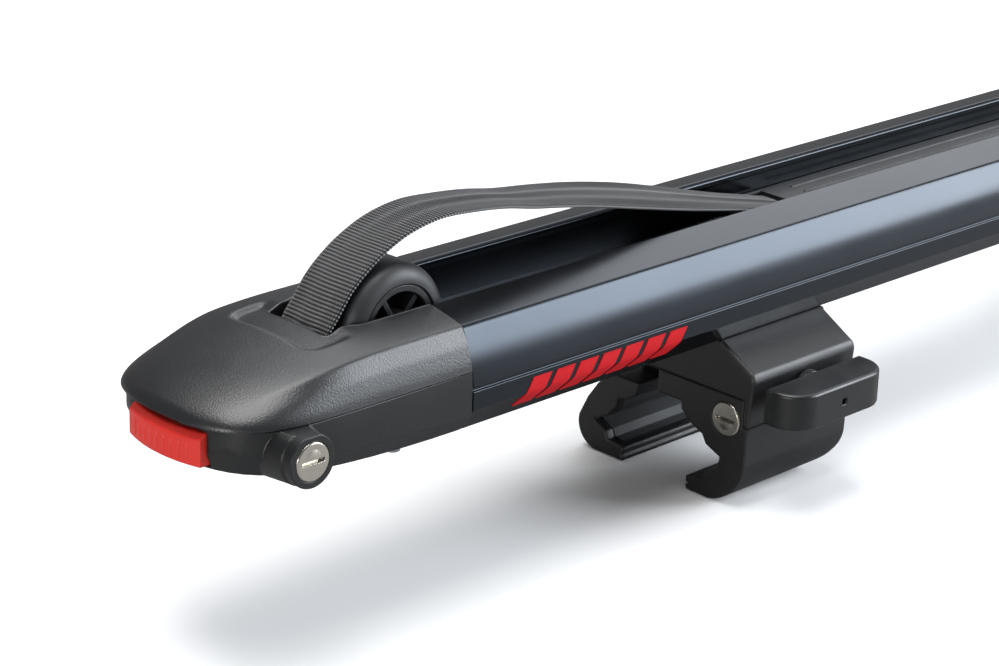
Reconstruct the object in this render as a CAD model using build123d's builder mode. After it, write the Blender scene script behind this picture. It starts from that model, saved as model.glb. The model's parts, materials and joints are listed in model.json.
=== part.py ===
from build123d import *
import os

# A roof carrier bar that straps boards, skis or poles down on a vehicle's crossbars.
# The long extrusion runs along X, the locks and clamp knobs face -Y, +Z is up, and the
# clamps' lower jaw lips stand on z = 0. All sizes are in millimetres.

# Overall layout
beam_length = 780.0
beam_half = beam_length / 2
beam_y = 17.5  # the beam's centre line lies behind the origin, as the knobs stand forward
waist_z = 92.6  # height of the groove along the beam's side, the datum of every height below
wall = 2.6

# Beam section, measured from its centre line and its waist groove
beam_half_width = 46.0
beam_bottom = -18.1
chamfer_in = 7.8
chamfer_up = 10.3
groove_height = 1.7
groove_depth = 1.1
crest_v = 18.9
crest_z = 28.9
shoulder_v = 37.3
shoulder_z = 25.3
flank_v = 39.8
flank_z = 22.4
channel_half = 19.2
channel_floor = 9.0
slot_half = 5.6
slot_lip = 2.8
slot_inner_half = 10.5
slot_inner_top = -7.6
chamber = [
    # the hollow inside each rail
    (22.4, 6.4),
    (22.4, 25.3),
    (36.4, 22.6),
    (40.6, 14.0),
    (42.6, 6.0),
    (42.8, -7.0),
    (36.9, -15.4),
    (15.0, -15.4),
    (15.0, 6.4),
]
roller_notch = 15.0  # length of the notch in each end of the channel floor

# End caps: distances from the beam's end towards the nose
cap_split = 8.0  # height of the seam between cover and case
split_gap = 0.35
cover_reach = 117.3
cover_steps = (0, 15, 30, 45, 56, 66, 75, 83, 90, 96, 101, 105, 108.5, 111.5, 114, 116, 117.3)
case_steps = (0, 15, 30, 45, 56, 66, 75, 83, 90, 96, 101, 105, 108, 110.8)
case_reach = 110.8
cap_half = 45.1
straight_part = 45.0  # the sides run on straight this far, then close in towards the nose
crown_top = 30.2
crown_nose = 10.5
pocket_half = 19.8
slot_reach = 51.0
slot_v = 17.5
screw_r = 1.5
screw_head_r = 3.0
cover_screw_a = 30.0
cover_screw_v = 33.0
case_screw_v = 38.6
case_screw_z = -2.0

# Roller over which a board is pushed onto the carrier
roller_a = 12.7
roller_z = 20.8
roller_r = 25.5
roller_half = 17.8
rim_r = 17.6
rim_inner_r = 15.0
hub_r = 6.9
spoke_count = 5
spoke_width = 2.6
axle_r = 3.0
axle_clear = 0.05
cheek_r = 4.2
cheek_thickness = 3.4
cheek_v = 21.0  # each cheek's inner face
axle_half = 24.6

# Cam buckle, its pin and its push button
cam_a = 60.8
cam_z = 4.0
cam_r = 8.6
cam_half = 14.0
cam_pin_r = 2.2
cam_lug = 3.4  # thickness of the lugs that hold the cam's pin
cam_lever = 12.4
button_half = 21.5
button_low = -8.0
button_high = 5.0
button_back_a = 108.6  # the back of the push plate, its edge and its bulging middle
button_edge_a = 113.4
button_nose_a = 117.0
button_travel = 4.0
arm_end_a = 76.0  # the button's arm runs back this far, to the cam's lever
spring_r = 3.4
spring_v = 12.0
spring_start_a = 103.6
spring_length = 14.0
spring_pitch = 2.8
spring_wire = 0.9

# Locks
core_r = 7.7
core_clear = 0.06
boss_r = 10.5
cap_lock_a = 87.3
cap_lock_z = -1.8
cap_lock_front = -54.0
cap_lock_length = 21.5
key_slot_width = 1.7
key_slot_length = 10.6
key_slot_depth = 1.6

# Strap
strap_half = 14.0
strap_thickness = 1.8
strap_route = [
    # distance from the beam's end, towards the middle of the beam, and height
    (-50.6, -11.0),
    (-50.6, 2.0),
    (-50.2, 13.0),
    (-46.6, 23.6),
    (-40.8, 31.4),
    (-34.6, 39.4),
    (-27.0, 46.0),
    (-17.0, 52.2),
    (-4.0, 57.4),
    (12.0, 60.0),
    (29.0, 59.2),
    (47.0, 57.0),
    (63.0, 53.6),
    (82.0, 50.2),
    (102.0, 46.0),
    (130.0, 39.4),
    (160.0, 32.6),
    (200.0, 24.4),
    (222.0, 19.4),
    (230.0, 17.2),
    (235.0, 16.1),
    (237.3, 15.1),
    (238.1, 13.0),
    (237.3, 10.9),
    (235.0, 10.0),
    (231.6, 10.0),
]
insert_start = 221.0
insert_top = 17.3
insert_slot_start = 226.0
insert_slot_end = 240.0
anchor_r = 2.0
anchor_a = -235.0
anchor_z = 13.0

# Crossbar clamps
clamp_x = 203.0  # distance of each clamp's middle from the beam's middle
clamp_half = 34.0
housing_top = -18.4
housing_front = -58.4
housing_shoulder_z = -29.0
housing_face = -56.2
housing_seam = -41.6
skirt_low = -54.0
housing_wall = 3.0
t_bolt_x = 20.0  # each clamp's T-bolts and jaw screws, from the clamp's middle
t_bolt_r = 3.0
jaw_screw_x = 24.0
jaw_screw_v = -38.0
nut_v = 15.6  # the barrel nut in the rear jaw
nut_r = 6.0
jaw_low = -92.6
ceiling = -52.6
bolt_z = -42.0
bolt_r = 4.0
jaw_post_half = 15.0
jaw_corner = 18.0  # radius of the front jaw's inboard lower corner
knob_half = 31.5
knob_back = -62.4
knob_front = -81.0
knob_height = 16.4
knob_corner = 13.5
clamp_lock_v = -44.0
clamp_lock_z = -53.0
clamp_core_length = 20.0
tooth_line = [
    # the front jaw's grip, from the ceiling down to its lower lip
    (-18.3, -56.0),
    (-24.0, -61.0),
    (-31.0, -64.0),
    (-33.4, -68.0),
    (-41.7, -71.4),
    (-40.8, -77.0),
    (-33.5, -81.0),
    (-32.6, -84.8),
    (-27.5, -85.6),
]
rear_tooth_line = [
    # the rear jaw's grip, from the ceiling down to its lower lip
    (8.9, -58.9),
    (13.6, -62.0),
    (19.4, -63.6),
    (20.6, -68.4),
    (26.0, -74.0),
    (34.8, -77.7),
    (26.6, -81.6),
    (25.0, -85.4),
    (19.5, -85.8),
]
pad_depth = 3.2
pad_half = 29.0

os.makedirs("parts", exist_ok=True)


def across(x):
    """A plane square to the beam, drawn from its centre line and its waist."""
    return Plane(origin=(x, beam_y, waist_z), x_dir=(0, 1, 0), z_dir=(1, 0, 0))


def level(z):
    """A level plane at a height from the waist."""
    return Plane(origin=(0, beam_y, waist_z + z), x_dir=(1, 0, 0), z_dir=(0, 0, 1))


def lengthwise(v):
    """An upright plane along the beam, facing -Y, at a distance from its centre line."""
    return Plane(origin=(0, beam_y + v, waist_z), x_dir=(1, 0, 0), z_dir=(0, -1, 0))


def at_end(a):
    """The x of a point that lies a distance outboard of the beam's left end."""
    return -beam_half - a


def settle(end):
    """Left-end and left-clamp pieces are drawn first; the right ones mirror them."""
    if end == "right":
        mirror(about=Plane.YZ, mode=Mode.REPLACE)


def save(builder, name):
    builder.part.label = name
    export_step(builder.part, "parts/" + name + ".step")


# ---------------------------------------------------------------- beam and channel insert


def make_beam():
    with BuildPart() as beam:
        with BuildSketch(across(-beam_half)):
            with BuildLine():
                Polyline(
                    (0, beam_bottom),
                    (beam_half_width - chamfer_in, beam_bottom),
                    (beam_half_width, beam_bottom + chamfer_up),
                    (beam_half_width, 0),
                    (beam_half_width - groove_depth, 0.1),
                    (beam_half_width - groove_depth, groove_height),
                    (beam_half_width, groove_height + 0.1),
                )
                Spline(
                    (beam_half_width, groove_height + 0.1),
                    (45.1, 7.0),
                    (42.6, 16.2),
                    (flank_v, flank_z),
                )
                ThreePointArc((flank_v, flank_z), (38.8, 24.2), (shoulder_v, shoulder_z))
                Polyline(
                    (shoulder_v, shoulder_z),
                    (crest_v + 1.6, crest_z),
                    (channel_half - 0.2, crest_z - 1.2),
                    (channel_half - 0.2, crest_z - 3.4),
                    (channel_half + 0.8, crest_z - 4.2),
                    (channel_half + 0.8, channel_floor),
                    (0, channel_floor),
                    (0, beam_bottom),
                )
            make_face()
            mirror(about=Plane.YZ)
            # The two hollow chambers inside the rails
            for side in (1, -1):
                with BuildLine():
                    Polyline(*[(side * v, z) for v, z in chamber], close=True)
                make_face(mode=Mode.SUBTRACT)
            # The middle chamber and the T-slot for the clamps
            with Locations((0, 0.7)):
                Rectangle(25.0, 11.4, mode=Mode.SUBTRACT)
            with Locations((0, beam_bottom)):
                Rectangle(2 * slot_half, 2 * slot_lip + 1, mode=Mode.SUBTRACT)
            with Locations((0, (slot_inner_top + beam_bottom + slot_lip) / 2)):
                Rectangle(
                    2 * slot_inner_half,
                    slot_inner_top - beam_bottom - slot_lip,
                    mode=Mode.SUBTRACT,
                )
        extrude(amount=beam_length)
        # Each end of the channel floor is notched for the roller
        notch_x = beam_half - roller_notch / 2
        with BuildSketch(level(-3.0)):
            with Locations((-notch_x, 0), (notch_x, 0)):
                Rectangle(roller_notch, 2 * channel_half - 1.4)
        extrude(amount=14.0, mode=Mode.SUBTRACT)
    save(beam, "beam")


def make_insert():
    inner_half = beam_half - insert_start
    slot_middle = beam_half - (insert_slot_start + insert_slot_end) / 2
    slot_length = insert_slot_end - insert_slot_start
    with BuildPart() as insert:
        with BuildSketch(level(channel_floor + 0.1)):
            Rectangle(2 * inner_half, 2 * channel_half + 0.4)
        extrude(amount=insert_top - channel_floor - 0.1)
        top_edges = insert.edges().group_by(Axis.Z)[-1].filter_by(Axis.Y)
        chamfer(top_edges, length=4.0, length2=6.0)
        with BuildSketch(level(channel_floor + 0.1)):
            with Locations((slot_middle, 0), (-slot_middle, 0)):
                Rectangle(slot_length, 2 * slot_v)
        extrude(amount=12.0, mode=Mode.SUBTRACT)
        # Long ribs stiffen the insert between its two slots
        with BuildSketch(level(insert_top)):
            with GridLocations(0, 8.0, 1, 4):
                Rectangle(2 * (slot_middle - 22.0), 1.2)
        extrude(amount=0.7)
        # The strap's anchor pins cross the slots low down
        with BuildSketch(lengthwise(channel_half + 0.1)):
            with Locations((at_end(anchor_a), anchor_z), (-at_end(anchor_a), anchor_z)):
                Circle(anchor_r + 0.02)
        extrude(amount=2 * channel_half + 0.2, mode=Mode.SUBTRACT)
    save(insert, "channel_insert")
    with BuildPart() as pins:
        with BuildSketch(lengthwise(channel_half - 0.2)):
            with Locations((at_end(anchor_a), anchor_z), (-at_end(anchor_a), anchor_z)):
                Circle(anchor_r)
        extrude(amount=2 * channel_half - 0.4)
    save(pins, "strap_anchor_pins")


# ---------------------------------------------------------------- end caps


def plan_half(a, reach):
    """Half the cap's width: straight, then a blunt rounded nose that ends at reach."""
    t = max(0.0, a - straight_part) / (reach - straight_part)
    return cap_half * (1 - t**5) ** 0.38


def crown_at(a):
    """Height of the cover's crown, level over the roller and then falling to the nose."""
    t = max(0.0, a - 30.0) / (cover_reach + 0.7 - 30.0)
    return crown_nose + (crown_top - crown_nose) * (1 - t**2.2) ** 0.8


def underside_at(a):
    """Height of the case's underside, which rises towards the nose."""
    return beam_bottom + 0.1 + 9.0 * (a / case_reach) ** 2.2


def cover_slice(a, inset):
    """One slice of the cover: a domed top, tight shoulders and slightly leaning flanks."""
    half = plan_half(a, cover_reach + 0.9)
    crown = crown_at(a)
    wide = (half - inset) / 45.1
    tall = (crown - inset - cap_split) / 22.0
    low = cap_split + split_gap
    flank = (43.0 * wide, cap_split + 8.2 * tall)
    shoulder = [
        (39.8 * wide, cap_split + 14.6 * tall),
        (38.9 * wide, cap_split + 16.2 * tall),
        (37.2 * wide, cap_split + 17.4 * tall),
    ]
    dome = (18.9 * wide, cap_split + 20.8 * tall)
    with BuildSketch(across(at_end(a))) as slice_of_cover:
        with BuildLine():
            Spline((45.1 * wide, low), flank, shoulder[0])
            ThreePointArc(*shoulder)
            Spline(shoulder[2], dome, (0, cap_split + 22.0 * tall))
            mirror(about=Plane.YZ)
            Line((-45.1 * wide, low), (45.1 * wide, low))
        make_face()
    return slice_of_cover.sketch


cover_screw_spots = ((at_end(cover_screw_a), cover_screw_v), (at_end(cover_screw_a), -cover_screw_v))
case_screw_spots = ((case_screw_v, case_screw_z), (-case_screw_v, case_screw_z))


def make_cover(end):
    with BuildPart() as cover:
        loft([cover_slice(a, 0) for a in cover_steps], ruled=True)
        # The hollow keeps a wall next to the beam
        hollow = [cover_slice(max(a, wall), wall) for a in cover_steps[:-4]]
        loft(hollow, ruled=True, mode=Mode.SUBTRACT)
        # Opening for the strap and the roller
        with BuildSketch(level(0)):
            with Locations((at_end(slot_reach / 2), 0)):
                Rectangle(slot_reach, 2 * slot_v)
            with Locations((at_end(19.5), 0)):
                RectangleRounded(43.0, 2 * pocket_half, 6.0)
            with Locations((at_end(8), 0)):
                Rectangle(16.0, 2 * pocket_half)
        extrude(amount=40.0, mode=Mode.SUBTRACT)
        # Screw posts
        with BuildSketch(level(cap_split + split_gap)):
            with Locations(*cover_screw_spots):
                Circle(4.2)
        extrude(amount=14.6)
        with BuildSketch(level(cap_split)):
            with Locations(*cover_screw_spots):
                Circle(screw_r + 0.02)
        extrude(amount=10.4, mode=Mode.SUBTRACT)
        settle(end)
    save(cover, end + "_end_cap_cover")


def case_slice(a, inset):
    """One slice of the case: a flat underside, a chamfer and an upright side."""
    side = plan_half(a, case_reach + 2.7) + 0.5 - inset
    foot = underside_at(a) + inset
    points = [
        (side - 0.5, cap_split),
        (side, 2.0),
        (side, foot + 8.5),
        (side - 7.0, foot),
        (-side + 7.0, foot),
        (-side, foot + 8.5),
        (-side, 2.0),
        (-side + 0.5, cap_split),
    ]
    with BuildSketch(across(at_end(a))) as slice_of_case:
        with BuildLine():
            Polyline(*points, close=True)
        make_face()
    return slice_of_case.sketch


def make_case(end):
    with BuildPart() as case:
        loft([case_slice(a, 0) for a in case_steps], ruled=True)
        # The lock's boss stands out of the near side and flares into it
        with BuildSketch(lengthwise(-30.0)):
            with Locations((at_end(cap_lock_a), cap_lock_z)):
                Circle(boss_r + 2.0)
        with BuildSketch(lengthwise(cap_lock_front + 5.0)):
            with Locations((at_end(cap_lock_a), cap_lock_z)):
                Circle(boss_r + 0.3)
        loft()
        with BuildSketch(lengthwise(cap_lock_front + 5.0)):
            with Locations((at_end(cap_lock_a), cap_lock_z)):
                Circle(boss_r)
        extrude(amount=5.0)
        # Nothing of the boss rises past the seam
        with BuildSketch(level(cap_split)):
            with Locations((at_end(60), 0)):
                Rectangle(160.0, 120.0)
        extrude(amount=20.0, mode=Mode.SUBTRACT)
        hollow = [case_slice(max(a, wall), wall) for a in case_steps[:-1]]
        loft(hollow, ruled=True, mode=Mode.SUBTRACT)
        # Way through to the channel for the roller
        with BuildSketch(across(at_end(wall + 1))):
            with Locations((0, 2.0)):
                Rectangle(2 * pocket_half, 16.0)
        extrude(amount=wall + 2, mode=Mode.SUBTRACT)
        # Window for the button, and its guide rails behind it
        with BuildSketch(across(at_end(button_nose_a))):
            with Locations((0, (button_low + button_high) / 2)):
                Rectangle(2 * button_half + 0.7, button_high - button_low + 0.7)
        window_depth = button_nose_a - button_back_a + button_travel + 0.8
        extrude(amount=window_depth, mode=Mode.SUBTRACT)
        # Lugs for the cam's pin
        for v in (cam_half + 1.2 + cam_lug, -cam_half - 1.2):
            with BuildSketch(lengthwise(v)):
                with Locations((at_end(cam_a), (cam_z - 13.5) / 2)):
                    Rectangle(12.0, cam_z + 13.5)
                with Locations((at_end(cam_a), cam_z)):
                    Circle(6.0)
                with Locations((at_end(cam_a), cam_z)):
                    Circle(cam_pin_r + 0.02, mode=Mode.SUBTRACT)
            extrude(amount=cam_lug)
        # The bar that the cam grips the strap against
        with BuildSketch(across(at_end(49.4))):
            with Locations((0, -3.6)):
                Rectangle(2 * slot_v + 4, 23.0)
        extrude(amount=3.2)
        # The wall that the button's spring pushes against
        with BuildSketch(across(at_end(spring_start_a - spring_length - 0.8))):
            with Locations((spring_v, -5.0)):
                Rectangle(9.0, 15.0)
        extrude(amount=2.4)
        # Cheeks for the roller's axle
        for v in (cheek_v + cheek_thickness, -cheek_v):
            with BuildSketch(lengthwise(v)):
                with Locations((at_end(roller_a), (roller_z - 16.6) / 2)):
                    Rectangle(2 * cheek_r, roller_z + 16.6)
                with Locations((at_end(roller_a), roller_z)):
                    Circle(cheek_r)
                    Circle(axle_r + 0.02, mode=Mode.SUBTRACT)
            extrude(amount=cheek_thickness)
        # Pocket for the lock core, and room for its tab
        with BuildSketch(lengthwise(cap_lock_front + cap_lock_length + 4.2)):
            with Locations((at_end(cap_lock_a), cap_lock_z)):
                Circle(core_r + core_clear)
        extrude(amount=cap_lock_length + 6, mode=Mode.SUBTRACT)
        # Screw holes: two up into the cover, two into the beam's end
        with BuildSketch(level(-20)):
            with Locations(*cover_screw_spots):
                Circle(screw_r + 0.22)
        extrude(amount=30.0, mode=Mode.SUBTRACT)
        with BuildSketch(across(at_end(5))):
            with Locations(*case_screw_spots):
                Circle(screw_r + 0.22)
        extrude(amount=10.0, mode=Mode.SUBTRACT)
        settle(end)
    save(case, end + "_end_cap_case")


def make_cap_screws(end):
    with BuildPart() as cover_screws:
        with BuildSketch(level(-17.9)):
            with Locations(*cover_screw_spots):
                Circle(screw_r)
        extrude(amount=34.0)
        with BuildSketch(level(-19.9)):
            with Locations(*cover_screw_spots):
                Circle(screw_head_r)
        extrude(amount=2.0)
        settle(end)
    save(cover_screws, end + "_cover_screws")
    with BuildPart() as case_screws:
        with BuildSketch(across(at_end(wall + 2.2))):
            with Locations(*case_screw_spots):
                Circle(screw_head_r)
        extrude(amount=2.0)
        with BuildSketch(across(at_end(wall + 0.2))):
            with Locations(*case_screw_spots):
                Circle(screw_r)
        extrude(amount=16.0)
        settle(end)
    save(case_screws, end + "_case_screws")


# ---------------------------------------------------------------- button, spring and cam


def make_button(end):
    middle = (button_low + button_high) / 2
    with BuildPart() as button:
        # The push plate bulges forward in the middle
        with BuildSketch(level(button_low)):
            with BuildLine():
                ThreePointArc(
                    (at_end(button_edge_a), -button_half),
                    (at_end(button_nose_a), 0),
                    (at_end(button_edge_a), button_half),
                )
                Polyline(
                    (at_end(button_edge_a), button_half),
                    (at_end(button_back_a), button_half),
                    (at_end(button_back_a), -button_half),
                    (at_end(button_edge_a), -button_half),
                )
            make_face()
        extrude(amount=button_high - button_low)
        top_front = button.edges().group_by(Axis.Z)[-1].sort_by(Axis.X)[0]
        chamfer(top_front, length=2.4)
        # A short neck carries a flange that keeps the button in the case
        with BuildSketch(across(at_end(button_back_a))):
            with Locations((0, middle)):
                Rectangle(36.0, 9.0)
        extrude(amount=4.2)
        # The arm runs back and turns up to the cam's lever
        with BuildSketch(across(at_end(105.0))):
            with Locations((0, middle + 0.5)):
                Rectangle(13.0, 6.0)
        extrude(amount=105.0 - arm_end_a)
        with BuildSketch(level(middle - 2.5)):
            with Locations((at_end(arm_end_a + 2.0), 0)):
                Rectangle(4.0, 13.0)
        extrude(amount=19.0)
        # The tongue that the lock's tab can block
        with BuildSketch(level(middle + 0.3)):
            with Locations((at_end(102.2), -18.1)):
                Rectangle(2.8, 26.2)
            with Locations((at_end(100.9), -30.0)):
                Rectangle(5.4, 2.4)
        extrude(amount=3.0)
        settle(end)
    save(button, end + "_release_button")
    # Compression spring between the button's arm and the case
    with BuildPart() as spring:
        with BuildLine():
            Helix(
                pitch=spring_pitch,
                height=spring_length,
                radius=spring_r,
                center=(at_end(spring_start_a), beam_y + spring_v, waist_z + middle),
                direction=(1, 0, 0),
            )
        start = Plane(
            origin=spring.pending_edges[0] @ 0,
            z_dir=spring.pending_edges[0] % 0,
        )
        with BuildSketch(start):
            Circle(spring_wire / 2)
        sweep()
        settle(end)
    save(spring, end + "_button_spring")


def make_cam(end):
    with BuildPart() as cam:
        with BuildSketch(lengthwise(cam_half)):
            with Locations((at_end(cam_a), cam_z)):
                Circle(cam_r)
            # Grip teeth on the side that faces the strap
            with Locations((at_end(cam_a), cam_z)):
                with PolarLocations(cam_r - 0.35, 7, start_angle=-36, angular_range=84, endpoint=True):
                    Circle(0.7)
            # The lever reaches up behind the cam
            with BuildLine():
                Polyline(
                    (at_end(cam_a + 8.2), cam_z),
                    (at_end(cam_a + 14.6), cam_z + cam_lever - 2),
                    (at_end(cam_a + 14.6), cam_z + cam_lever + 1),
                    (at_end(cam_a + 10.6), cam_z + cam_lever + 1),
                    (at_end(cam_a + 2), cam_z + 8.4),
                    (at_end(cam_a + 8.2), cam_z),
                )
            make_face()
            with Locations((at_end(cam_a), cam_z)):
                Circle(cam_pin_r + axle_clear, mode=Mode.SUBTRACT)
        extrude(amount=2 * cam_half)
        settle(end)
    save(cam, end + "_strap_cam")
    with BuildPart() as pin:
        with BuildSketch(lengthwise(cam_half + 5.2)):
            with Locations((at_end(cam_a), cam_z)):
                Circle(cam_pin_r)
        extrude(amount=2 * cam_half + 10.4)
        chamfer(pin.edges().filter_by(GeomType.CIRCLE), length=0.4)
        settle(end)
    save(pin, end + "_cam_pin")


# ---------------------------------------------------------------- roller


def make_roller(end):
    centre = (at_end(roller_a), roller_z)
    with BuildPart() as tyre:
        with BuildSketch(lengthwise(roller_half)):
            with Locations(centre):
                Circle(roller_r)
                Circle(rim_r + 0.02, mode=Mode.SUBTRACT)
        extrude(amount=2 * roller_half)
        outer = tyre.edges().filter_by(GeomType.CIRCLE).group_by(SortBy.RADIUS)[-1]
        fillet(outer, 7.4)
        settle(end)
    save(tyre, end + "_roller_tyre")
    with BuildPart() as hub:
        with BuildSketch(lengthwise(roller_half - 0.6)):
            with Locations(centre):
                Circle(rim_r)
                Circle(rim_inner_r, mode=Mode.SUBTRACT)
                Circle(hub_r)
        extrude(amount=2 * roller_half - 1.2)
        with BuildSketch(lengthwise(roller_half - 2.4)):
            with Locations(centre):
                with PolarLocations((hub_r + rim_inner_r) / 2, spoke_count, start_angle=48):
                    Rectangle(rim_inner_r - hub_r + 1.6, spoke_width)
        extrude(amount=2 * roller_half - 4.8)
        with BuildSketch(lengthwise(roller_half + 1)):
            with Locations(centre):
                Circle(axle_r + 1.62)
        extrude(amount=2 * roller_half + 2, mode=Mode.SUBTRACT)
        settle(end)
    save(hub, end + "_roller_hub")
    with BuildPart() as bushes:
        for v in (roller_half - 0.2, -roller_half + 7.2):
            with BuildSketch(lengthwise(v)):
                with Locations(centre):
                    Circle(axle_r + 1.6)
                    Circle(axle_r + axle_clear, mode=Mode.SUBTRACT)
            extrude(amount=7.0)
        settle(end)
    save(bushes, end + "_roller_bushes")
    with BuildPart() as axle:
        with BuildSketch(lengthwise(axle_half)):
            with Locations(centre):
                Circle(axle_r)
        extrude(amount=2 * axle_half)
        chamfer(axle.edges().filter_by(GeomType.CIRCLE), length=0.5)
        settle(end)
    save(axle, end + "_roller_axle")


# ---------------------------------------------------------------- strap


def make_strap(end):
    # The webbing's middle line, then a band of its thickness about it
    route = [(at_end(0) + x, z) for x, z in strap_route]
    with BuildPart() as strap:
        with BuildSketch(lengthwise(strap_half)):
            with BuildLine():
                Spline(*route)
            trace(line_width=strap_thickness)
        extrude(amount=2 * strap_half)
        settle(end)
    save(strap, end + "_strap")


# ---------------------------------------------------------------- locks


def make_cap_lock(end):
    centre = (at_end(cap_lock_a), cap_lock_z)
    with BuildPart() as core:
        with BuildSketch(lengthwise(cap_lock_front + cap_lock_length)):
            with Locations(centre):
                Circle(core_r)
        extrude(amount=cap_lock_length + 0.4)
        front_rim = core.edges().filter_by(GeomType.CIRCLE).sort_by(Axis.Y)[0]
        chamfer(front_rim, length=0.5)
        with BuildSketch(lengthwise(cap_lock_front + key_slot_depth)):
            with Locations(centre):
                Rectangle(key_slot_length, key_slot_width)
            with Locations((centre[0], centre[1] + key_slot_width / 2)):
                with BuildLine():
                    ThreePointArc((-3.4, 0), (0, 3.2), (3.4, 0))
                    Line((3.4, 0), (-3.4, 0))
                make_face()
        extrude(amount=key_slot_depth + 1, mode=Mode.SUBTRACT)
        settle(end)
    save(core, end + "_cap_lock_core")
    with BuildPart() as tab:
        with BuildSketch(lengthwise(cap_lock_front + cap_lock_length + 2.6)):
            with Locations(centre):
                Circle(3.6)
            with Locations((centre[0], centre[1] + 5.3)):
                Rectangle(5.0, 10.6)
        extrude(amount=2.5)
        settle(end)
    save(tab, end + "_cap_lock_tab")


# ---------------------------------------------------------------- crossbar clamps


t_bolt_spots = ((-clamp_x - t_bolt_x, 0), (-clamp_x + t_bolt_x, 0))
jaw_screw_spots = ((-clamp_x - jaw_screw_x, jaw_screw_v), (-clamp_x + jaw_screw_x, jaw_screw_v))


def make_housing(end):
    with BuildPart() as housing:
        with BuildSketch(across(-clamp_x - clamp_half)):
            with BuildLine():
                Polyline(
                    (-38.2, housing_top),
                    (38.2, housing_top),
                    (41.5, -26.0),
                    (39.0, housing_seam),
                    (-53.7, housing_seam),
                    (-53.7, skirt_low),
                    (housing_face, skirt_low),
                    (housing_front, housing_shoulder_z - 2),
                    (housing_front + 1.5, housing_shoulder_z),
                    close=True,
                )
            make_face()
        extrude(amount=2 * clamp_half)
        outer_sides = housing.edges().group_by(Axis.X)
        fillet([outer_sides[0].sort_by(Axis.Z)[-1], outer_sides[-1].sort_by(Axis.Z)[-1]], 1.0)
        with BuildSketch(across(-clamp_x - clamp_half + housing_wall)):
            with BuildLine():
                Polyline(
                    (-36.8, housing_top - housing_wall),
                    (36.4, housing_top - housing_wall),
                    (38.2, -27.0),
                    (36.0, housing_seam - 1),
                    (-53.0, housing_seam - 1),
                    (-54.4, housing_shoulder_z - 3.4),
                    close=True,
                )
            make_face()
        extrude(amount=2 * (clamp_half - housing_wall), mode=Mode.SUBTRACT)
        # Hole for the draw bolt, and two for the T-bolts
        with BuildSketch(lengthwise(-45)):
            with Locations((-clamp_x, bolt_z)):
                Circle(bolt_r + 0.5)
        extrude(amount=20.0, mode=Mode.SUBTRACT)
        with BuildSketch(level(housing_top - 5)):
            with Locations(*t_bolt_spots):
                Circle(t_bolt_r + 0.2)
        extrude(amount=8.0, mode=Mode.SUBTRACT)
        # Screw posts for the front jaw
        with BuildSketch(level(-31.0)):
            with Locations(*jaw_screw_spots):
                Circle(4.0)
                Circle(1.5, mode=Mode.SUBTRACT)
        extrude(amount=10.4)
        settle(end)
    save(housing, end + "_clamp_housing")


def make_t_bolts(end):
    with BuildPart() as bolts:
        with BuildSketch(level(-14.9)):
            with Locations(*t_bolt_spots):
                Rectangle(16.0, 2 * slot_inner_half - 1.2)
        extrude(amount=6.4)
        with BuildSketch(level(-28.6)):
            with Locations(*t_bolt_spots):
                Circle(t_bolt_r)
        extrude(amount=14.0)
        settle(end)
    save(bolts, end + "_t_bolts")
    with BuildPart() as nuts:
        with BuildSketch(level(-27.0)):
            with Locations(*t_bolt_spots):
                RegularPolygon(radius=6.2, side_count=6)
                Circle(t_bolt_r + 0.03, mode=Mode.SUBTRACT)
        extrude(amount=5.4)
        settle(end)
    save(nuts, end + "_t_bolt_nuts")


def shifted(points, away):
    """A tooth line moved into the jaw, away from the crossbar."""
    return [(v + away, z) for v, z in points]


def round_off_corner():
    """Rounds the front jaw's inboard lower corner, as seen from the front."""
    middle = (-clamp_x + clamp_half - jaw_corner, jaw_low + jaw_corner)
    with BuildSketch(lengthwise(-5.0)) as corner:
        with Locations((middle[0] + jaw_corner / 2 + 1, middle[1] - jaw_corner / 2 - 1)):
            Rectangle(jaw_corner + 2, jaw_corner + 2)
        with Locations(middle):
            Circle(jaw_corner, mode=Mode.SUBTRACT)
    return corner.sketch


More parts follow.
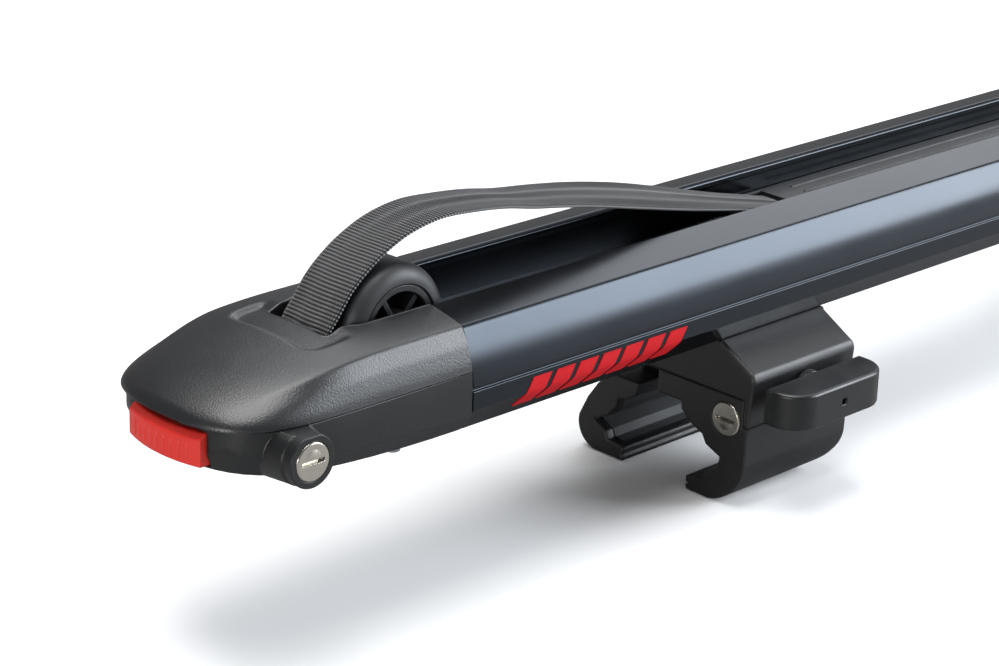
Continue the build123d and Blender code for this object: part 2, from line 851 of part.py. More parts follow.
def make_front_jaw(end):
    deep = shifted(tooth_line, -pad_depth)
    with BuildPart() as jaw:
        with BuildSketch(across(-clamp_x - clamp_half)):
            with BuildLine():
                Polyline(
                    (-53.4, housing_seam - 0.3),
                    (-53.4, skirt_low - 0.3),
                    (-56.0, skirt_low - 0.3),
                    (-55.6, -72.0),
                )
                ThreePointArc((-55.6, -72.0), (-50.6, -84.2), (-40.0, -91.8))
                Polyline(
                    (-40.0, -91.8),
                    (-37.0, jaw_low),
                    (-23.5, jaw_low),
                    (-23.2, -90.4),
                    (-24.8, -89.8),
                    (-23.2, -89.0),
                    (-23.3, -86.4),
                    *reversed(tooth_line),
                    (-18.0, ceiling),
                    (-4.0, ceiling),
                    (-4.0, housing_seam - 0.3),
                    (-53.4, housing_seam - 0.3),
                )
            make_face()
        extrude(amount=2 * clamp_half)
        # Seat for the grip pad
        with BuildSketch(across(-clamp_x - pad_half)):
            with BuildLine():
                Polyline(*tooth_line, *reversed(deep), close=True)
            make_face()
        extrude(amount=2 * pad_half, mode=Mode.SUBTRACT)
        # The post that guides the draw bolt rises into the housing
        with BuildSketch(level(housing_seam - 1)):
            with Locations((-clamp_x, -30)):
                Rectangle(2 * jaw_post_half, 40.0)
        extrude(amount=12.0)
        with BuildSketch(lengthwise(10)):
            with Locations((-clamp_x, bolt_z)):
                Circle(bolt_r + 0.3)
        extrude(amount=70.0, mode=Mode.SUBTRACT)
        # Bore for the lock core and room for its tab
        with BuildSketch(across(-clamp_x - clamp_half - 1)):
            with Locations((clamp_lock_v, clamp_lock_z)):
                Circle(core_r + core_clear)
        extrude(amount=clamp_core_length + 1, mode=Mode.SUBTRACT)
        with BuildSketch(across(-clamp_x - clamp_half + clamp_core_length - 0.6)):
            with Locations((clamp_lock_v, clamp_lock_z)):
                Circle(9.0)
        extrude(amount=3.2, mode=Mode.SUBTRACT)
        # Screws into the housing's posts
        with BuildSketch(level(-58.0)):
            with Locations(*jaw_screw_spots):
                Circle(1.7)
        extrude(amount=20.0, mode=Mode.SUBTRACT)
        extrude(round_off_corner(), amount=60.0, mode=Mode.SUBTRACT)
        settle(end)
    save(jaw, end + "_front_jaw")
    with BuildPart() as pad:
        with BuildSketch(across(-clamp_x - pad_half + 0.2)):
            with BuildLine():
                Polyline(
                    *shifted(tooth_line, -0.05), *reversed(shifted(tooth_line, 0.05 - pad_depth)), close=True
                )
            make_face()
        extrude(amount=2 * pad_half - 0.4)
        extrude(round_off_corner(), amount=60.0, mode=Mode.SUBTRACT)
        settle(end)
    save(pad, end + "_front_jaw_pad")


def make_rear_jaw(end):
    deep = shifted(rear_tooth_line, pad_depth)
    with BuildPart() as jaw:
        with BuildSketch(across(-clamp_x - clamp_half)):
            with BuildLine():
                Polyline(
                    (7.4, ceiling),
                    *rear_tooth_line,
                    (15.4, -86.4),
                    (15.2, -89.0),
                    (16.8, -89.8),
                    (15.2, -90.4),
                    (15.5, jaw_low),
                    (31.0, jaw_low),
                )
                ThreePointArc((31.0, jaw_low), (41.2, -88.2), (43.4, -78.0))
                Polyline((43.4, -78.0), (38.4, -68.0), (32.4, -59.6), (24.0, ceiling), (7.4, ceiling))
            make_face()
        extrude(amount=2 * clamp_half)
        with BuildSketch(across(-clamp_x - pad_half)):
            with BuildLine():
                Polyline(*rear_tooth_line, *reversed(deep), close=True)
            make_face()
        extrude(amount=2 * pad_half, mode=Mode.SUBTRACT)
        with BuildSketch(level(ceiling - 1)):
            with Locations((-clamp_x, nut_v)):
                Rectangle(2 * jaw_post_half, 16.4)
        extrude(amount=22.0)
        with BuildSketch(lengthwise(40)):
            with Locations((-clamp_x, bolt_z)):
                Circle(bolt_r + 0.3)
        extrude(amount=50.0, mode=Mode.SUBTRACT)
        with BuildSketch(level(bolt_z - 8.6)):
            with Locations((-clamp_x, nut_v)):
                Circle(nut_r + 0.02)
        extrude(amount=30.0, mode=Mode.SUBTRACT)
        settle(end)
    save(jaw, end + "_rear_jaw")
    with BuildPart() as pad:
        with BuildSketch(across(-clamp_x - pad_half + 0.2)):
            with BuildLine():
                Polyline(
                    *shifted(rear_tooth_line, 0.05),
                    *reversed(shifted(rear_tooth_line, pad_depth - 0.05)),
                    close=True
                )
            make_face()
        extrude(amount=2 * pad_half - 0.4)
        settle(end)
    save(pad, end + "_rear_jaw_pad")
    with BuildPart() as nut:
        with BuildSketch(level(bolt_z - 8.4)):
            with Locations((-clamp_x, nut_v)):
                Circle(nut_r)
        extrude(amount=16.8)
        with BuildSketch(lengthwise(30)):
            with Locations((-clamp_x, bolt_z)):
                Circle(bolt_r + axle_clear)
        extrude(amount=30.0, mode=Mode.SUBTRACT)
        settle(end)
    save(nut, end + "_barrel_nut")


def make_knob(end):
    with BuildPart() as knob:
        with BuildSketch(level(bolt_z - knob_height / 2)):
            with BuildLine():
                Line((-clamp_x - knob_half, knob_back), (-clamp_x + knob_half, knob_back))
                Line(
                    (-clamp_x + knob_half, knob_back),
                    (-clamp_x + knob_half, knob_front + knob_corner),
                )
                RadiusArc(
                    (-clamp_x + knob_half, knob_front + knob_corner),
                    (-clamp_x + knob_half - knob_corner, knob_front),
                    knob_corner,
                )
                Line(
                    (-clamp_x + knob_half - knob_corner, knob_front),
                    (-clamp_x - knob_half + knob_corner, knob_front),
                )
                RadiusArc(
                    (-clamp_x - knob_half + knob_corner, knob_front),
                    (-clamp_x - knob_half, knob_front + knob_corner),
                    knob_corner,
                )
                Line(
                    (-clamp_x - knob_half, knob_front + knob_corner),
                    (-clamp_x - knob_half, knob_back),
                )
            make_face()
        extrude(amount=knob_height)
        fillet(knob.edges().group_by(Axis.Z)[-1], 1.6)
        fillet(knob.edges().group_by(Axis.Z)[0], 1.6)
        # A round foot turns against the housing
        with BuildSketch(lengthwise(knob_back)):
            with Locations((-clamp_x, bolt_z)):
                Circle(8.2)
        extrude(amount=knob_back - housing_front + 0.3)
        with BuildSketch(lengthwise(knob_back + 8)):
            with Locations((-clamp_x, bolt_z)):
                Circle(bolt_r + 0.02)
        extrude(amount=22.0, mode=Mode.SUBTRACT)
        with BuildSketch(lengthwise(knob_back)):
            with Locations((-clamp_x, bolt_z)):
                Circle(1.4)
        extrude(amount=30.0, mode=Mode.SUBTRACT)
        settle(end)
    save(knob, end + "_clamp_knob")
    with BuildPart() as bolt:
        with BuildSketch(lengthwise(27.0)):
            with Locations((-clamp_x, bolt_z)):
                Circle(bolt_r)
        extrude(amount=27.0 - knob_back + 13.8)
        chamfer(bolt.edges().filter_by(GeomType.CIRCLE).sort_by(Axis.Y)[-1], length=0.8)
        settle(end)
    save(bolt, end + "_draw_bolt")


def make_clamp_lock(end):
    face_x = -clamp_x - clamp_half
    with BuildPart() as core:
        with BuildSketch(across(face_x - 0.5)):
            with Locations((clamp_lock_v, clamp_lock_z)):
                Circle(core_r)
        extrude(amount=clamp_core_length)
        chamfer(core.edges().filter_by(GeomType.CIRCLE).sort_by(Axis.X)[0], length=0.5)
        with BuildSketch(across(face_x - 2.0)):
            with Locations((clamp_lock_v, clamp_lock_z)):
                Rectangle(key_slot_length, key_slot_width)
            with Locations((clamp_lock_v, clamp_lock_z - key_slot_width / 2)):
                with BuildLine():
                    ThreePointArc((-3.4, 0), (0, -3.2), (3.4, 0))
                    Line((3.4, 0), (-3.4, 0))
                make_face()
        extrude(amount=1.5 + key_slot_depth, mode=Mode.SUBTRACT)
        settle(end)
    save(core, end + "_clamp_lock_core")
    with BuildPart() as tab:
        with BuildSketch(across(face_x + clamp_core_length - 0.4)):
            with Locations((clamp_lock_v, clamp_lock_z)):
                Circle(3.6)
            with Locations((clamp_lock_v + 4.0, clamp_lock_z)):
                Rectangle(8.0, 4.6)
        extrude(amount=2.5)
        settle(end)
    save(tab, end + "_clamp_lock_tab")


make_beam()
make_insert()
for end in ("left", "right"):
    make_cover(end)
    make_case(end)
    make_cap_screws(end)
    make_button(end)
    make_cam(end)
    make_roller(end)
    make_strap(end)
    make_cap_lock(end)
    make_housing(end)
    make_t_bolts(end)
    make_front_jaw(end)
    make_rear_jaw(end)
    make_knob(end)
    make_clamp_lock(end)
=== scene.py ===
import json

import bmesh
import bpy
import numpy as np
from mathutils import Matrix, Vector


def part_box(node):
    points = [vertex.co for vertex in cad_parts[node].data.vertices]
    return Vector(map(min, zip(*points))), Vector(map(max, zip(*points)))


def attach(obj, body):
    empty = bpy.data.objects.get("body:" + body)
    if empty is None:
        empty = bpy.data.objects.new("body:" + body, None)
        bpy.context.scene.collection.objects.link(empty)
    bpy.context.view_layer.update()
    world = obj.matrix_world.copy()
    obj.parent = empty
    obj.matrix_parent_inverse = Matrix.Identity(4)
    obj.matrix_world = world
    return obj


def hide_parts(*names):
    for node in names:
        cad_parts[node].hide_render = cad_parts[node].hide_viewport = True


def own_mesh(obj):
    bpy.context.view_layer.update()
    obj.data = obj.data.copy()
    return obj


# A roof carrier bar with straps, end rollers and crossbar clamps. Blender works in metres;
# the dictionaries beside each piece are in millimetres. At each end, a is the distance
# outboard of the beam's end, v the distance behind its centre line, z the height over its waist.

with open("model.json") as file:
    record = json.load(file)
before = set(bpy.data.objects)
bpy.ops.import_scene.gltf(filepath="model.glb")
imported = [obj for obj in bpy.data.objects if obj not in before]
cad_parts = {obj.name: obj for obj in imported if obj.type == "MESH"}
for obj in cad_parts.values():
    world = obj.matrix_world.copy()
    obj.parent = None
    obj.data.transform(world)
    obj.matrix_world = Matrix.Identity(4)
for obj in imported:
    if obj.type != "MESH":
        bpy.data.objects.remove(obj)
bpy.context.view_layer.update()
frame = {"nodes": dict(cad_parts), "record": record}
nodes = frame["nodes"]
record = frame["record"]
mm = 0.001
ends = {"left": -1, "right": 1}  # which way x grows at each end

beamLow, beamHigh = [np.array(corner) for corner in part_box("beam")]
beamEnd = beamHigh[0]
beamY = (beamLow[1] + beamHigh[1]) / 2
waistZ = beamHigh[2] - 28.9 * mm  # the groove along the beam's side
print("frame loaded:", len(nodes), "nodes")


def toLinear(hexColour):
    parts = [int(hexColour[i : i + 2], 16) / 255 for i in (1, 3, 5)]
    return [c / 12.92 if c < 0.04045 else ((c + 0.055) / 1.055) ** 2.4 for c in parts] + [1.0]


def addNode(tree, kind, settings=None, links=None):
    # settings are the node's attributes or its sockets' values; links are its sockets' sources
    node = tree.nodes.new(kind)
    for key, value in (settings or {}).items():
        if isinstance(key, str) and hasattr(node, key):
            setattr(node, key, value)
        else:
            node.inputs[key].default_value = value
    for key, source in (links or {}).items():
        tree.links.new(source, node.inputs[key])
    return node


def newMaterial(name, shader):
    # an empty material with one Principled shader, whose plain values are set here
    material = bpy.data.materials.new(name)
    material.use_nodes = True
    tree = material.node_tree
    tree.nodes.clear()
    surface = addNode(tree, "ShaderNodeBsdfPrincipled", shader)
    addNode(tree, "ShaderNodeOutputMaterial", None, {"Surface": surface.outputs["BSDF"]})
    return material, tree, surface


def patterned(name, shader, colours, cloudMm, roughness, grainMm, grainDepth, stretch=(1, 1, 1), worn=0):
    # Most finishes share this build: a cloud moves the colour and roughness a little, and a
    # fine grain, stretched where the finish is drawn or brushed, is raised by grainDepth.
    material, tree, surface = newMaterial(name, shader)
    place = addNode(tree, "ShaderNodeTexCoord").outputs["Object"]
    drawn = addNode(tree, "ShaderNodeMapping", {"Scale": stretch}, {"Vector": place}).outputs["Vector"]
    cloud = addNode(
        tree, "ShaderNodeTexNoise", {"Scale": 1 / (cloudMm * mm), "Detail": 4.0}, {"Vector": place}
    ).outputs["Fac"]
    grain = addNode(
        tree, "ShaderNodeTexNoise", {"Scale": 1 / (grainMm * mm), "Detail": 2.0}, {"Vector": drawn}
    ).outputs["Fac"]
    paint = addNode(
        tree,
        "ShaderNodeMix",
        {"data_type": "RGBA", 6: toLinear(colours[0]), 7: toLinear(colours[1])},
        {0: cloud},
    )
    tree.links.new(paint.outputs[2], surface.inputs["Base Color"])
    dull = addNode(
        tree,
        "ShaderNodeMapRange",
        {"From Min": 0.3, "From Max": 0.7, "To Min": roughness[0], "To Max": roughness[1]},
        {"Value": cloud},
    )
    tree.links.new(dull.outputs["Result"], surface.inputs["Roughness"])
    bump = addNode(tree, "ShaderNodeBump", {"Distance": grainDepth * mm}, {"Height": grain})
    if worn:
        # light rolls over the moulded edges, over a width of worn millimetres
        rolled = addNode(tree, "ShaderNodeBevel", {"samples": 6, "Radius": worn * mm})
        tree.links.new(rolled.outputs["Normal"], bump.inputs["Normal"])
    tree.links.new(bump.outputs["Normal"], surface.inputs["Normal"])
    return material


def wovenWebbing(name, weave):
    # Polyester webbing. Its colour is painted from the weave's height: painted shade, near black, in the gaps between
    # the rows of yarn and a painted highlight on the yarn tips, with fibre noise adding a random tone.
    # The pattern follows the strap's own UV map, whose unit is a metre.
    material, tree, surface = newMaterial(
        name, {"IOR": 1.5, "Specular IOR Level": 0.3, "Roughness": 0.78, "Sheen Weight": 0.35, "Sheen Roughness": 0.5}
    )
    along = addNode(tree, "ShaderNodeUVMap", {"uv_map": "weave"}).outputs["UV"]
    split = addNode(tree, "ShaderNodeSeparateXYZ", None, {"Vector": along})
    turns = [
        addNode(tree, "ShaderNodeMath", {"operation": "MULTIPLY", 1: 2 * np.pi / (size * mm)}, {0: split.outputs[axis]})
        for axis, size in (("X", weave["rib"]), ("Y", weave["yarn"]))
    ]
    ribs, yarns = [
        addNode(tree, "ShaderNodeMath", {"operation": "COSINE"}, {0: turn.outputs[0]}).outputs[0] for turn in turns
    ]
    tips = addNode(tree, "ShaderNodeMath", {"operation": "MULTIPLY_ADD", 1: 0.45, 2: 0.5}, {0: yarns}).outputs[0]
    rows = addNode(tree, "ShaderNodeMath", {"operation": "MULTIPLY_ADD", 1: 0.5, 2: 0.5}, {0: ribs}).outputs[0]
    height = addNode(tree, "ShaderNodeMath", {"operation": "MULTIPLY"}, {0: tips, 1: rows}).outputs[0]
    fibre = addNode(
        tree, "ShaderNodeTexNoise", {"Scale": 1 / (0.5 * mm), "Detail": 3.0},
        {"Vector": addNode(tree, "ShaderNodeTexCoord").outputs["Object"]},
    ).outputs["Fac"]
    lit = addNode(tree, "ShaderNodeMath", {"operation": "MULTIPLY_ADD", 1: 0.35}, {0: fibre, 2: height}).outputs[0]
    shade = addNode(
        tree, "ShaderNodeMapRange", {"From Min": 0.42, "From Max": 1.1, "To Min": 0.0, "To Max": 1.0}, {"Value": lit}
    ).outputs["Result"]
    # the colour runs from the painted shade in the gaps to the painted highlight on the yarn tips
    paint = addNode(
        tree,
        "ShaderNodeMix",
        {"data_type": "RGBA", 6: toLinear(weave["gapShade"]), 7: toLinear(weave["tipHighlight"])},
        {0: shade},
    )
    tree.links.new(paint.outputs[2], surface.inputs["Base Color"])
    bump = addNode(tree, "ShaderNodeBump", {"Distance": weave["depth"] * mm}, {"Height": lit})
    tree.links.new(bump.outputs["Normal"], surface.inputs["Normal"])
    return material


# the colours of the painted shade in the weave's gaps and of the painted highlight on its yarn tips
webbingLook = {"rib": 1.6, "yarn": 1.0, "gapShade": "#020202", "tipHighlight": "#8d9094", "depth": 0.6}
nylon = {"IOR": 1.52}
coverNylon = {"IOR": 1.52, "Specular IOR Level": 0.66}
finishes = {
    # black anodised extrusion: a deep gloss with faint die lines along the bar
    "anodised_black": patterned(
        "anodisedBlack", {"IOR": 1.5, "Specular IOR Level": 0.46, "Specular Tint": toLinear("#dcecff")},
        ("#060607", "#0a0b0d"), 60, (0.2, 0.25), 0.8, 0.004, (0.01, 1, 1)
    ),
    "insert_plastic": patterned("insertNylon", nylon, ("#121213", "#191a1b"), 18, (0.5, 0.6), 0.7, 0.03),
    # spark-eroded nylon: a satin sheen broken up by sand-like grain, drawn a little coarse
    "cover_plastic": patterned("grainedCoverNylon", coverNylon, ("#17181a", "#1d1e20"), 24, (0.34, 0.41), 0.7, 0.11),
    "case_plastic": patterned("grainedCaseNylon", nylon, ("#111213", "#17181a"), 24, (0.33, 0.4), 0.7, 0.07),
    "clamp_plastic": patterned("clampNylon", nylon, ("#131314", "#19191b"), 20, (0.38, 0.47), 0.7, 0.07, worn=1.8),
    "hub_plastic": patterned("hubNylon", nylon, ("#0e0f10", "#151617"), 15, (0.38, 0.46), 0.5, 0.02),
    # red polypropylene: satin, with a little light inside it
    "button_red": patterned(
        "redButtonPlastic", {"IOR": 1.49, "Subsurface Weight": 0.06, "Subsurface Scale": 0.002},
        ("#e62f26", "#f03e34"), 12, (0.34, 0.44), 0.45, 0.015
    ),
    # rubbers: dull, with a fine uneven skin that looks dusty on the high spots
    "tyre_rubber": patterned("rollerRubber", {"IOR": 1.5}, ("#1f2022", "#2a2b2d"), 9, (0.44, 0.54), 0.6, 0.02),
    "pad_rubber": patterned("gripRubber", {"IOR": 1.5}, ("#343537", "#404244"), 9, (0.58, 0.68), 0.5, 0.03),
    "knob_rubber": patterned("knobRubber", {"IOR": 1.5}, ("#101112", "#191a1b"), 14, (0.3, 0.42), 0.7, 0.02),
    "webbing": wovenWebbing("wovenWebbing", webbingLook),
    # plated metals: bright, faintly brushed across, with a little tarnish in the cloud
    "nickel": patterned(
        "nickelPlate", {"Metallic": 1.0}, ("#cdc8bd", "#b4afa4"), 6, (0.2, 0.3), 0.3, 0.01, (1, 0.1, 1)
    ),
    "steel": patterned("zincPlate", {"Metallic": 1.0}, ("#a9abad", "#8f9295"), 7, (0.3, 0.42), 0.4, 0.01),
}
slotOf = {part["node"]: part["material_slot"] for part in record["subparts"]}
for name, node in nodes.items():
    node.data.materials.clear()
    node.data.materials.append(finishes[slotOf[name]])
print("finishes given to", len(nodes), "nodes")


def place(end, a, v, z):
    # the end's own coordinates, in arrays of millimetres, to points in metres
    a, v, z = np.broadcast_arrays(a, v, z)
    sign = ends[end]
    return np.stack([sign * (beamEnd + a * mm), beamY + v * mm, waistZ + z * mm], axis=-1)


def gridFaces(rows, columns, wrap=False):
    # the quads between neighbouring rows and columns of a grid; wrap joins its last column to the first
    r, c = np.meshgrid(np.arange(rows - 1), np.arange(columns if wrap else columns - 1), indexing="ij")
    after = (c + 1) % columns
    quads = [r * columns + c, r * columns + after, (r + 1) * columns + after, (r + 1) * columns + c]
    return np.stack(quads, axis=-1).reshape(-1, 4)


def carried(loops):
    # closed sections carried along a path, one row each, with a flat face at both ends
    rows, columns = loops.shape[:2]
    faces = gridFaces(rows, columns, wrap=True).tolist()
    first = list(range(columns))[::-1]
    last = list(range((rows - 1) * columns, rows * columns))
    return loops.reshape(-1, 3), faces + [first, last]


def newPiece(name, parts, slot, body, replaced=()):
    # one object from several (points, faces) parts, turned so that its faces point outwards
    points, faces, count = [], [], 0
    for partPoints, partFaces in parts:
        middle = partPoints.mean(axis=0)
        corners = np.array([face[:3] for face in partFaces])
        a, b, c = [partPoints[corners[:, i]] - middle for i in range(3)]
        inward = (a * np.cross(b, c)).sum() < 0
        partFaces = [list(face)[::-1] if inward else list(face) for face in partFaces]
        points.append(partPoints)
        faces += [[i + count for i in face] for face in partFaces]
        count += len(partPoints)
    mesh = bpy.data.meshes.new(name)
    mesh.from_pydata(np.concatenate(points).tolist(), [], faces)
    return finishPiece(name, mesh, slot, body, replaced)


def finishPiece(name, mesh, slot, body, replaced, sharpAngle=40):
    mesh.materials.append(finishes[slot])
    mesh.polygons.foreach_set("use_smooth", np.ones(len(mesh.polygons), dtype=bool))
    if sharpAngle:
        mesh.set_sharp_from_angle(angle=np.radians(sharpAngle))
    piece = bpy.data.objects.new(name, mesh)
    bpy.context.collection.objects.link(piece)
    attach(piece, body)
    if replaced:
        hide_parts(*replaced)
    return piece


def addModifier(piece, kind, **settings):
    modifier = piece.modifiers.new(kind.lower(), kind)
    for key, value in settings.items():
        setattr(modifier, key, value)


def throughPoints(points, steps):
    # a Catmull-Rom curve: each span is the cubic whose ends pass through its two points with
    # tangents half the chord between their neighbours; then evenly spaced along its length
    p = np.vstack([2 * points[0] - points[1], points, 2 * points[-1] - points[-2]])
    t = np.linspace(0, 1, 24, endpoint=False)[None, :, None]
    p0, p1, p2, p3 = [p[i : len(p) - 3 + i][:, None, :] for i in range(4)]
    curve = 0.5 * (
        2 * p1 + (p2 - p0) * t + (2 * p0 - 5 * p1 + 4 * p2 - p3) * t**2 + (3 * p1 - p0 - 3 * p2 + p3) * t**3
    )
    curve = np.vstack([curve.reshape(-1, points.shape[1]), points[-1:]])
    run = np.concatenate([[0], np.cumsum(np.linalg.norm(np.diff(curve, axis=0), axis=1))])
    even = np.linspace(0, run[-1], steps)
    return even, np.stack([np.interp(even, run, column) for column in curve.T], axis=1)


# The straps: a band of webbing from its anchor pin in the channel, up over the roller and
# down into the end cap's buckle. Points are inboard distance and height.
strapShape = {
    "route": [
        (-50.6, -11.0), (-50.6, 2.0), (-50.2, 13.0), (-46.6, 23.6), (-40.8, 31.4), (-34.6, 39.4),
        (-27.0, 46.0), (-17.0, 52.2), (-4.0, 57.4), (12.0, 60.0), (29.0, 59.2), (47.0, 57.0),
        (63.0, 53.6), (82.0, 50.2), (102.0, 46.0), (130.0, 39.4), (160.0, 32.6), (200.0, 24.4),
        (222.0, 19.4), (230.0, 17.2), (235.0, 16.1), (237.3, 15.1), (238.1, 13.0), (237.3, 10.9),
        (235.0, 10.0), (231.6, 10.0),
    ],
    "half": 14.0,
    "thickness": 1.5,
    "selvedge": 0.5,  # how much thicker the woven edges are
    "ribDepth": 0.28,
    "bands": (-4.6, 5.4),  # the middles of two smoother lengthwise bands, and their half width
    "bandHalf": 1.1,
    "lift": 4.5,  # how far the far edge rises above the near one, between these distances
    "liftFrom": 20.0,
    "liftTo": 215.0,
    "stepsPerRib": 5,
}


def makeStrap(end):
    shape = strapShape
    route = np.array(shape["route"])
    length = throughPoints(route, 10)[0][-1]
    steps = int(length / webbingLook["rib"] * shape["stepsPerRib"])
    run, line = throughPoints(route, steps)
    tangent = np.gradient(line, axis=0)
    tangent /= np.linalg.norm(tangent, axis=1)[:, None]
    normal = np.stack([-tangent[:, 1], tangent[:, 0]], axis=1)
    t = np.clip((line[:, 0] - shape["liftFrom"]) / (shape["liftTo"] - shape["liftFrom"]), 0, 1)
    lift = shape["lift"] * np.sin(np.pi * t**1.3) ** 2
    # Across the band: v is cosine-spaced, and the half thickness closes round at both edges
    v = -shape["half"] * np.cos(np.linspace(0, np.pi, 27))
    rim = np.sqrt(np.clip(1 - (np.abs(v) / shape["half"]) ** 10, 0, 1))
    edge = shape["selvedge"] * np.exp(-(((np.abs(v) - 12.6) / 1.0) ** 2))
    smooth = np.exp(-(((v - shape["bands"][0]) / shape["bandHalf"]) ** 4))
    smooth += np.exp(-(((v - shape["bands"][1]) / shape["bandHalf"]) ** 4))
    # Ribs: a cosine along the strap whose phase jumps by half a rib from zone to zone
    zone = (v > shape["bands"][0]).astype(float) + (v > shape["bands"][1])
    wave = np.cos(2 * np.pi * run[:, None] / webbingLook["rib"] + np.pi * zone[None, :])
    rib = shape["ribDepth"] * wave * (1 - 0.8 * smooth)
    half = ((shape["thickness"] + edge) / 2 + rib) * rim
    loops = []
    for side, order in ((1, slice(None)), (-1, slice(-2, 0, -1))):
        offset = side * half[:, order]
        raised = lift[:, None] * (v[None, order] / shape["half"] + 1) / 2
        x = line[:, :1] + normal[:, :1] * offset
        z = line[:, 1:] + normal[:, 1:] * offset + raised
        loops.append(place(end, -x, np.broadcast_to(v[None, order], x.shape), z))
    loops = np.concatenate(loops, axis=1)
    strap = newPiece(end + "_woven_strap", [carried(loops)], "webbing", "root", [end + "_strap"])
    across = np.concatenate([v, v[-2:0:-1]])
    uv = np.stack(np.broadcast_arrays(run[:, None] * mm, across[None, :] * mm), axis=-1).reshape(-1, 2)
    corner = np.empty(len(strap.data.loops), dtype=int)
    strap.data.loops.foreach_get("vertex_index", corner)
    strap.data.uv_layers.new(name="weave").data.foreach_set("uv", uv[corner].ravel())
    return length


for end in ends:
    strapLength = makeStrap(end)
print("straps woven, each", round(float(strapLength)), "mm long")


# The end cap's cover: a section from lip to crown, squeezed in width and height along the cap
coverShape = {
    "reach": 117.3,
    "straight": 45.0,
    "half": 45.1,
    "split": 8.35,
    "crown": (30.2, 10.5),  # over the roller, and at the nose
    "noseRadius": 3.4,
    "section": [  # from the crown's middle to the lip, as shares of the half width and height
        (0.0, 1.0), (0.2, 0.988), (0.42, 0.949), (0.64, 0.88), (0.825, 0.791), (0.862, 0.737), (0.884, 0.662),
        (0.93, 0.50), (0.955, 0.365), (0.985, 0.16), (1.0, 0.0),
    ],
    "openEnd": 51.0,
    "openHalf": (19.9, 17.5),  # beside the roller, and beside the strap
    "deck": {"from": 43.0, "to": 66.0, "half": 26.0, "corner": 8.0, "depth": 1.9, "edge": 3.0},
    "wall": 2.2,
    "wellDepth": 15.0,
}


def coverHalf(a):
    t = np.clip((a - coverShape["straight"]) / (coverShape["reach"] + 0.9 - coverShape["straight"]), 0, 1)
    return coverShape["half"] * (1 - t**4.6) ** 0.42


def coverCrown(a):
    # level over the roller, falling as a power curve, then a quarter circle at the nose
    t = np.clip((a - 30.0) / (coverShape["reach"] + 0.7 - 30.0), 0, 1)
    high, low = coverShape["crown"]
    crown = low + (high - low) * (1 - t**2.2) ** 0.8
    nose = np.clip((a - coverShape["reach"] + coverShape["noseRadius"]) / coverShape["noseRadius"], 0, 1)
    return coverShape["split"] + (crown - coverShape["split"]) * np.sqrt(1 - 0.97 * nose**2)


def smoothStep(x):
    x = np.clip(x, 0, 1)
    return x * x * (3 - 2 * x)


sectionRun, sectionLine = throughPoints(np.array(coverShape["section"]), 400)
sectionRun = sectionRun / sectionRun[-1]


def coverSkin(a, share):
    # a point of the skin: share runs from 0 at the crown to 1 at the lip, and the section turns
    # from the shouldered one beside the roller to a quarter ellipse at the nose
    side = np.abs(share)
    nose = smoothStep((a - 58.0) / 52.0)
    wide = (1 - nose) * np.interp(side, sectionRun, sectionLine[:, 0]) + nose * np.sin(side * np.pi / 2)
    tall = (1 - nose) * np.interp(side, sectionRun, sectionLine[:, 1]) + nose * np.cos(side * np.pi / 2)
    v = np.sign(share) * wide * coverHalf(a)
    # the deck round the strap's slot is sunk, with soft steps at its rim
    deck = coverShape["deck"]
    fromMiddle = np.hypot(np.maximum(np.abs(v) - deck["half"] + deck["corner"], 0),
                          np.maximum(a - deck["to"] + deck["corner"], 0))
    sunk = smoothStep((deck["corner"] - fromMiddle) / deck["edge"]) * smoothStep((a - deck["from"]) / 7.0)
    return v, coverShape["split"] + (coverCrown(a) - coverShape["split"]) * tall - deck["depth"] * sunk


def openHalfAt(a):
    wide, narrow = coverShape["openHalf"]
    return wide + (narrow - wide) * smoothStep((a - 34.0) / 8.0)


